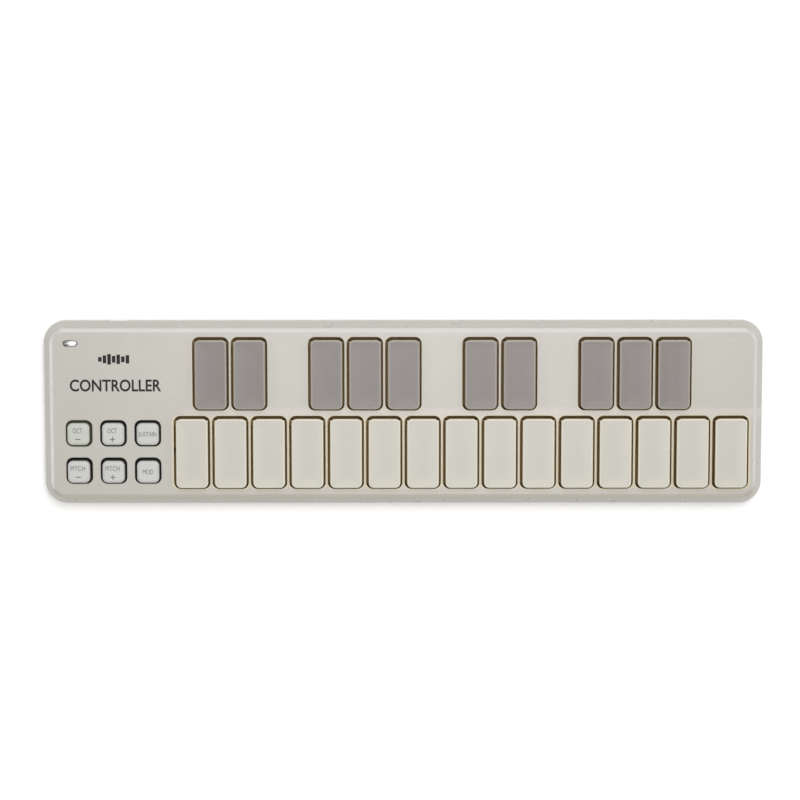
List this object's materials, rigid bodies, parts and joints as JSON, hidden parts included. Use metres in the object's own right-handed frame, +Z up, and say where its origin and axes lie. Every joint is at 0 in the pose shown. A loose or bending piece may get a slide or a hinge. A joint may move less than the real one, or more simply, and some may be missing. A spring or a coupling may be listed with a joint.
{
  "type": "midi keyboard",
  "caption": "Slim USB MIDI keyboard with flat pad-like white and black keys in staggered rows and a block of small square function buttons at the left.",
  "frame": {"origin": "middle of the case's footprint, on the surface that the feet stand on", "axes": "+X along the keyboard to its high-note end, +Y towards the rear edge with the USB socket, +Z up out of the keys"},
  "size_m": [0.324, 0.083, 0.016],
  "materials": {
    "case_plastic": "fine moulded texture, warm cream, satin-matte",
    "inner_plastic": "moulded, dark brown",
    "white_key_plastic": "smooth satin, pale cream",
    "black_key_plastic": "smooth satin, warm grey with a paler edge",
    "button_plastic": "milky translucent, smooth",
    "lens_plastic": "clear moulded light guide",
    "led_body": "moulded LED package",
    "silicone": "moulded silicone, matte",
    "foot_rubber": "moulded rubber, matte",
    "board_laminate": "solder-masked glass laminate, satin",
    "chip_plastic": "moulded epoxy, matte",
    "felt": "pressed felt, brown",
    "screw_steel": "zinc-plated steel",
    "socket_metal": "tin-plated folded steel"
  },
  "bodies": {
    "case": {"top_cover": "case_plastic", "bottom_cover": "case_plastic", "key_frame": "inner_plastic", "circuit_board": "board_laminate", "white_key_contact_sheet": "silicone", "black_key_contact_sheet": "silicone", "button_contact_sheet": "silicone", "usb_socket_shell": "socket_metal", "usb_socket_tongue": "chip_plastic", "power_light_lens": "lens_plastic", "power_led": "led_body", "controller_chip": "chip_plastic", "clock_crystal": "socket_metal", "white_key_felt": "felt", "black_key_felt": "felt", "front_left_foot": "foot_rubber", "front_right_foot": "foot_rubber", "rear_left_foot": "foot_rubber", "rear_right_foot": "foot_rubber", "case_screw_1": "screw_steel", "case_screw_2": "screw_steel", "case_screw_3": "screw_steel", "case_screw_4": "screw_steel", "case_screw_5": "screw_steel", "case_screw_6": "screw_steel", "case_screw_7": "screw_steel", "case_screw_8": "screw_steel", "board_screw_1": "screw_steel", "board_screw_2": "screw_steel"},
    "white_key_01": {"white_key_01": "white_key_plastic"},
    "white_key_02": {"white_key_02": "white_key_plastic"},
    "white_key_03": {"white_key_03": "white_key_plastic"},
    "white_key_04": {"white_key_04": "white_key_plastic"},
    "white_key_05": {"white_key_05": "white_key_plastic"},
    "white_key_06": {"white_key_06": "white_key_plastic"},
    "white_key_07": {"white_key_07": "white_key_plastic"},
    "white_key_08": {"white_key_08": "white_key_plastic"},
    "white_key_09": {"white_key_09": "white_key_plastic"},
    "white_key_10": {"white_key_10": "white_key_plastic"},
    "white_key_11": {"white_key_11": "white_key_plastic"},
    "white_key_12": {"white_key_12": "white_key_plastic"},
    "white_key_13": {"white_key_13": "white_key_plastic"},
    "white_key_14": {"white_key_14": "white_key_plastic"},
    "white_key_15": {"white_key_15": "white_key_plastic"},
    "black_key_01": {"black_key_01": "black_key_plastic"},
    "black_key_02": {"black_key_02": "black_key_plastic"},
    "black_key_03": {"black_key_03": "black_key_plastic"},
    "black_key_04": {"black_key_04": "black_key_plastic"},
    "black_key_05": {"black_key_05": "black_key_plastic"},
    "black_key_06": {"black_key_06": "black_key_plastic"},
    "black_key_07": {"black_key_07": "black_key_plastic"},
    "black_key_08": {"black_key_08": "black_key_plastic"},
    "black_key_09": {"black_key_09": "black_key_plastic"},
    "black_key_10": {"black_key_10": "black_key_plastic"},
    "octave_down_button": {"octave_down_button": "button_plastic"},
    "octave_up_button": {"octave_up_button": "button_plastic"},
    "sustain_button": {"sustain_button": "button_plastic"},
    "pitch_down_button": {"pitch_down_button": "button_plastic"},
    "pitch_up_button": {"pitch_up_button": "button_plastic"},
    "modulation_button": {"modulation_button": "button_plastic"}
  },
  "joints": [
    {"name": "white_key_01_hinge", "type": "hinge", "parent": "case", "child": "white_key_01", "pos_m": [-0.09505, -0.0039, 0.0092], "axis": [1, 0, 0], "range_deg": [0, 4.5], "stiffness_Nm_per_rad": 0.15, "springref_deg": -2.86, "deforming": ["white_key_contact_sheet"]},
    {"name": "white_key_02_hinge", "type": "hinge", "parent": "case", "child": "white_key_02", "pos_m": [-0.07776, -0.0039, 0.0092], "axis": [1, 0, 0], "range_deg": [0, 4.5], "stiffness_Nm_per_rad": 0.15, "springref_deg": -2.86, "deforming": ["white_key_contact_sheet"]},
    {"name": "white_key_03_hinge", "type": "hinge", "parent": "case", "child": "white_key_03", "pos_m": [-0.06047, -0.0039, 0.0092], "axis": [1, 0, 0], "range_deg": [0, 4.5], "stiffness_Nm_per_rad": 0.15, "springref_deg": -2.86, "deforming": ["white_key_contact_sheet"]},
    {"name": "white_key_04_hinge", "type": "hinge", "parent": "case", "child": "white_key_04", "pos_m": [-0.04318, -0.0039, 0.0092], "axis": [1, 0, 0], "range_deg": [0, 4.5], "stiffness_Nm_per_rad": 0.15, "springref_deg": -2.86, "deforming": ["white_key_contact_sheet"]},
    {"name": "white_key_05_hinge", "type": "hinge", "parent": "case", "child": "white_key_05", "pos_m": [-0.02589, -0.0039, 0.0092], "axis": [1, 0, 0], "range_deg": [0, 4.5], "stiffness_Nm_per_rad": 0.15, "springref_deg": -2.86, "deforming": ["white_key_contact_sheet"]},
    {"name": "white_key_06_hinge", "type": "hinge", "parent": "case", "child": "white_key_06", "pos_m": [-0.0086, -0.0039, 0.0092], "axis": [1, 0, 0], "range_deg": [0, 4.5], "stiffness_Nm_per_rad": 0.15, "springref_deg": -2.86, "deforming": ["white_key_contact_sheet"]},
    {"name": "white_key_07_hinge", "type": "hinge", "parent": "case", "child": "white_key_07", "pos_m": [0.00869, -0.0039, 0.0092], "axis": [1, 0, 0], "range_deg": [0, 4.5], "stiffness_Nm_per_rad": 0.15, "springref_deg": -2.86, "deforming": ["white_key_contact_sheet"]},
    {"name": "white_key_08_hinge", "type": "hinge", "parent": "case", "child": "white_key_08", "pos_m": [0.02598, -0.0039, 0.0092], "axis": [1, 0, 0], "range_deg": [0, 4.5], "stiffness_Nm_per_rad": 0.15, "springref_deg": -2.86, "deforming": ["white_key_contact_sheet"]},
    {"name": "white_key_09_hinge", "type": "hinge", "parent": "case", "child": "white_key_09", "pos_m": [0.04327, -0.0039, 0.0092], "axis": [1, 0, 0], "range_deg": [0, 4.5], "stiffness_Nm_per_rad": 0.15, "springref_deg": -2.86, "deforming": ["white_key_contact_sheet"]},
    {"name": "white_key_10_hinge", "type": "hinge", "parent": "case", "child": "white_key_10", "pos_m": [0.06056, -0.0039, 0.0092], "axis": [1, 0, 0], "range_deg": [0, 4.5], "stiffness_Nm_per_rad": 0.15, "springref_deg": -2.86, "deforming": ["white_key_contact_sheet"]},
    {"name": "white_key_11_hinge", "type": "hinge", "parent": "case", "child": "white_key_11", "pos_m": [0.07785, -0.0039, 0.0092], "axis": [1, 0, 0], "range_deg": [0, 4.5], "stiffness_Nm_per_rad": 0.15, "springref_deg": -2.86, "deforming": ["white_key_contact_sheet"]},
    {"name": "white_key_12_hinge", "type": "hinge", "parent": "case", "child": "white_key_12", "pos_m": [0.09514, -0.0039, 0.0092], "axis": [1, 0, 0], "range_deg": [0, 4.5], "stiffness_Nm_per_rad": 0.15, "springref_deg": -2.86, "deforming": ["white_key_contact_sheet"]},
    {"name": "white_key_13_hinge", "type": "hinge", "parent": "case", "child": "white_key_13", "pos_m": [0.11243, -0.0039, 0.0092], "axis": [1, 0, 0], "range_deg": [0, 4.5], "stiffness_Nm_per_rad": 0.15, "springref_deg": -2.86, "deforming": ["white_key_contact_sheet"]},
    {"name": "white_key_14_hinge", "type": "hinge", "parent": "case", "child": "white_key_14", "pos_m": [0.12972, -0.0039, 0.0092], "axis": [1, 0, 0], "range_deg": [0, 4.5], "stiffness_Nm_per_rad": 0.15, "springref_deg": -2.86, "deforming": ["white_key_contact_sheet"]},
    {"name": "white_key_15_hinge", "type": "hinge", "parent": "case", "child": "white_key_15", "pos_m": [0.14701, -0.0039, 0.0092], "axis": [1, 0, 0], "range_deg": [0, 4.5], "stiffness_Nm_per_rad": 0.15, "springref_deg": -2.86, "deforming": ["white_key_contact_sheet"]},
    {"name": "black_key_01_hinge", "type": "hinge", "parent": "case", "child": "black_key_01", "pos_m": [-0.0864, 0.0316, 0.0092], "axis": [1, 0, 0], "range_deg": [0, 4.5], "stiffness_Nm_per_rad": 0.15, "springref_deg": -2.86, "deforming": ["black_key_contact_sheet"]},
    {"name": "black_key_02_hinge", "type": "hinge", "parent": "case", "child": "black_key_02", "pos_m": [-0.06911, 0.0316, 0.0092], "axis": [1, 0, 0], "range_deg": [0, 4.5], "stiffness_Nm_per_rad": 0.15, "springref_deg": -2.86, "deforming": ["black_key_contact_sheet"]},
    {"name": "black_key_03_hinge", "type": "hinge", "parent": "case", "child": "black_key_03", "pos_m": [-0.03454, 0.0316, 0.0092], "axis": [1, 0, 0], "range_deg": [0, 4.5], "stiffness_Nm_per_rad": 0.15, "springref_deg": -2.86, "deforming": ["black_key_contact_sheet"]},
    {"name": "black_key_04_hinge", "type": "hinge", "parent": "case", "child": "black_key_04", "pos_m": [-0.01724, 0.0316, 0.0092], "axis": [1, 0, 0], "range_deg": [0, 4.5], "stiffness_Nm_per_rad": 0.15, "springref_deg": -2.86, "deforming": ["black_key_contact_sheet"]},
    {"name": "black_key_05_hinge", "type": "hinge", "parent": "case", "child": "black_key_05", "pos_m": [0.00005, 0.0316, 0.0092], "axis": [1, 0, 0], "range_deg": [0, 4.5], "stiffness_Nm_per_rad": 0.15, "springref_deg": -2.86, "deforming": ["black_key_contact_sheet"]},
    {"name": "black_key_06_hinge", "type": "hinge", "parent": "case", "child": "black_key_06", "pos_m": [0.03463, 0.0316, 0.0092], "axis": [1, 0, 0], "range_deg": [0, 4.5], "stiffness_Nm_per_rad": 0.15, "springref_deg": -2.86, "deforming": ["black_key_contact_sheet"]},
    {"name": "black_key_07_hinge", "type": "hinge", "parent": "case", "child": "black_key_07", "pos_m": [0.05192, 0.0316, 0.0092], "axis": [1, 0, 0], "range_deg": [0, 4.5], "stiffness_Nm_per_rad": 0.15, "springref_deg": -2.86, "deforming": ["black_key_contact_sheet"]},
    {"name": "black_key_08_hinge", "type": "hinge", "parent": "case", "child": "black_key_08", "pos_m": [0.0865, 0.0316, 0.0092], "axis": [1, 0, 0], "range_deg": [0, 4.5], "stiffness_Nm_per_rad": 0.15, "springref_deg": -2.86, "deforming": ["black_key_contact_sheet"]},
    {"name": "black_key_09_hinge", "type": "hinge", "parent": "case", "child": "black_key_09", "pos_m": [0.10379, 0.0316, 0.0092], "axis": [1, 0, 0], "range_deg": [0, 4.5], "stiffness_Nm_per_rad": 0.15, "springref_deg": -2.86, "deforming": ["black_key_contact_sheet"]},
    {"name": "black_key_10_hinge", "type": "hinge", "parent": "case", "child": "black_key_10", "pos_m": [0.12108, 0.0316, 0.0092], "axis": [1, 0, 0], "range_deg": [0, 4.5], "stiffness_Nm_per_rad": 0.15, "springref_deg": -2.86, "deforming": ["black_key_contact_sheet"]},
    {"name": "octave_down_button_slide", "type": "slide", "parent": "case", "child": "octave_down_button", "axis": [0, 0, -1], "range_m": [0, 0.0012], "stiffness_N_per_m": 400, "springref_m": -0.001, "deforming": ["button_contact_sheet"]},
    {"name": "octave_up_button_slide", "type": "slide", "parent": "case", "child": "octave_up_button", "axis": [0, 0, -1], "range_m": [0, 0.0012], "stiffness_N_per_m": 400, "springref_m": -0.001, "deforming": ["button_contact_sheet"]},
    {"name": "sustain_button_slide", "type": "slide", "parent": "case", "child": "sustain_button", "axis": [0, 0, -1], "range_m": [0, 0.0012], "stiffness_N_per_m": 400, "springref_m": -0.001, "deforming": ["button_contact_sheet"]},
    {"name": "pitch_down_button_slide", "type": "slide", "parent": "case", "child": "pitch_down_button", "axis": [0, 0, -1], "range_m": [0, 0.0012], "stiffness_N_per_m": 400, "springref_m": -0.001, "deforming": ["button_contact_sheet"]},
    {"name": "pitch_up_button_slide", "type": "slide", "parent": "case", "child": "pitch_up_button", "axis": [0, 0, -1], "range_m": [0, 0.0012], "stiffness_N_per_m": 400, "springref_m": -0.001, "deforming": ["button_contact_sheet"]},
    {"name": "modulation_button_slide", "type": "slide", "parent": "case", "child": "modulation_button", "axis": [0, 0, -1], "range_m": [0, 0.0012], "stiffness_N_per_m": 400, "springref_m": -0.001, "deforming": ["button_contact_sheet"]}
  ]
}
